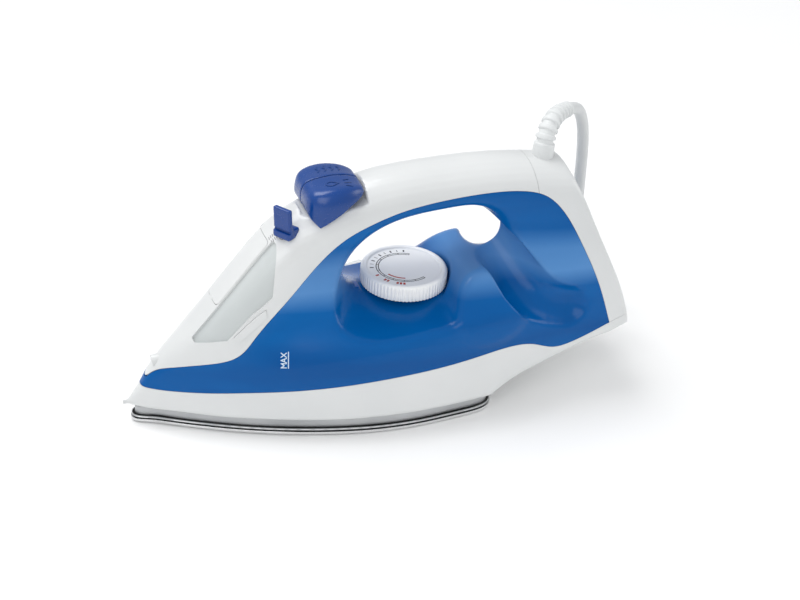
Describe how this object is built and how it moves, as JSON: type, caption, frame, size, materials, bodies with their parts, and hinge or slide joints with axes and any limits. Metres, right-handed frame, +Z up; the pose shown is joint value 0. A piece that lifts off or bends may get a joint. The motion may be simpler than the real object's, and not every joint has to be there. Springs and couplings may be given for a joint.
{
  "type": "steam iron",
  "caption": "Steam iron with a polished sole, clear blue water tank, closed white handle, dial, spray and steam buttons, steam slider and a coiled cord.",
  "frame": {"origin": "on the surface that the sole stands on, under the middle of the iron's length and width", "axes": "-X points to the sole's tip and +X to the heel, +Y is across the iron, +Z is up"},
  "size_m": [0.3005, 0.1736, 0.1662],
  "materials": {
    "white_plastic": "smooth, satin gloss",
    "blue_tank": "clear tinted, glossy",
    "blue_plastic": "glossy",
    "navy_plastic": "glossy",
    "dial_plastic": "satin, with dark printed marks",
    "black_plastic": "matt",
    "polished_steel": "mirror polished",
    "cast_aluminium": "machined edge on a die casting",
    "element_steel": "drawn tube and sheet",
    "thermostat_steel": "pressed",
    "screw_steel": "zinc plated",
    "terminal_brass": "stamped",
    "seal_rubber": "silicone",
    "guard_rubber": "soft moulded",
    "cord_rubber": "smooth jacket",
    "lamp_glass": "clear neon tube"
  },
  "bodies": {
    "iron": {"sole_sheet": "polished_steel", "sole_casting": "cast_aluminium", "heating_element": "element_steel", "element_terminals": "terminal_brass", "steam_chamber_cover": "cast_aluminium", "thermostat": "thermostat_steel", "thermal_fuse": "element_steel", "heat_shield": "element_steel", "sole_screws": "screw_steel", "base_skirt": "white_plastic", "water_tank": "blue_tank", "tank_floor": "blue_tank", "tank_lid": "blue_tank", "spindle_tube": "white_plastic", "steam_valve_seat": "seal_rubber", "spray_pump": "white_plastic", "steam_pump": "white_plastic", "spray_spring": "screw_steel", "steam_spring": "screw_steel", "suction_tube": "seal_rubber", "steam_hose": "seal_rubber", "spray_tube": "seal_rubber", "spray_nozzle": "white_plastic", "handle_cover": "white_plastic", "filler_hinge_pin": "screw_steel", "filler_neck": "white_plastic", "rear_cover": "white_plastic", "rear_cover_screws": "screw_steel", "pilot_lens": "blue_plastic", "pilot_lamp": "lamp_glass", "terminal_block": "black_plastic", "lead_wires": "cord_rubber", "heater_wires": "cord_rubber", "cord_bush": "white_plastic", "cord_floor": "cord_rubber", "cord_coil": "cord_rubber", "cord_tail": "cord_rubber", "cord_tie": "guard_rubber", "plug_body": "guard_rubber", "plug_pins": "terminal_brass"},
    "spray_button": {"spray_button": "blue_plastic", "spray_piston": "seal_rubber"},
    "steam_button": {"steam_button": "blue_plastic", "steam_piston": "seal_rubber"},
    "steam_slider": {"steam_slider": "navy_plastic"},
    "steam_valve": {"steam_valve_rod": "black_plastic"},
    "dial": {"temperature_dial": "dial_plastic", "thermostat_spindle": "black_plastic"},
    "filler_door": {"filler_door": "white_plastic"},
    "cord_guard": {"cord_guard": "guard_rubber", "cord_drop": "cord_rubber"}
  },
  "joints": [
    {"name": "spray_press", "type": "slide", "parent": "iron", "child": "spray_button", "axis": [0, 0, -1], "range_m": [0, 0.004], "stiffness_N_per_m": 500, "springref_m": -0.003, "deforming": ["spray_spring"]},
    {"name": "steam_press", "type": "slide", "parent": "iron", "child": "steam_button", "axis": [0, 0, -1], "range_m": [0, 0.004], "stiffness_N_per_m": 500, "springref_m": -0.003, "deforming": ["steam_spring"]},
    {"name": "slider_turn", "type": "hinge", "parent": "iron", "child": "steam_slider", "pos_m": [-0.0425, 0, 0.1168], "axis": [0, 0, -1], "range_deg": [0, 72]},
    {"name": "valve_lift", "type": "slide", "parent": "iron", "child": "steam_valve", "axis": [0, 0, 1], "range_m": [0, 0.0015]},
    {"name": "dial_turn", "type": "hinge", "parent": "iron", "child": "dial", "pos_m": [0.0155, 0, 0.0745], "axis": [0, 0, -1], "range_deg": [0, 280]},
    {"name": "door_open", "type": "hinge", "parent": "iron", "child": "filler_door", "pos_m": [-0.09613, 0, 0.07292], "axis": [0, -1, 0], "range_deg": [0, 70]},
    {"name": "guard_swivel", "type": "hinge", "parent": "iron", "child": "cord_guard", "pos_m": [0.0945, 0, 0.1335], "axis": [0, 0, 1], "range_deg": [-20, 20]}
  ],
  "couplings": [
    {"joint": "valve_lift", "follows": "slider_turn", "m_per_rad": 0.0011936}
  ]
}
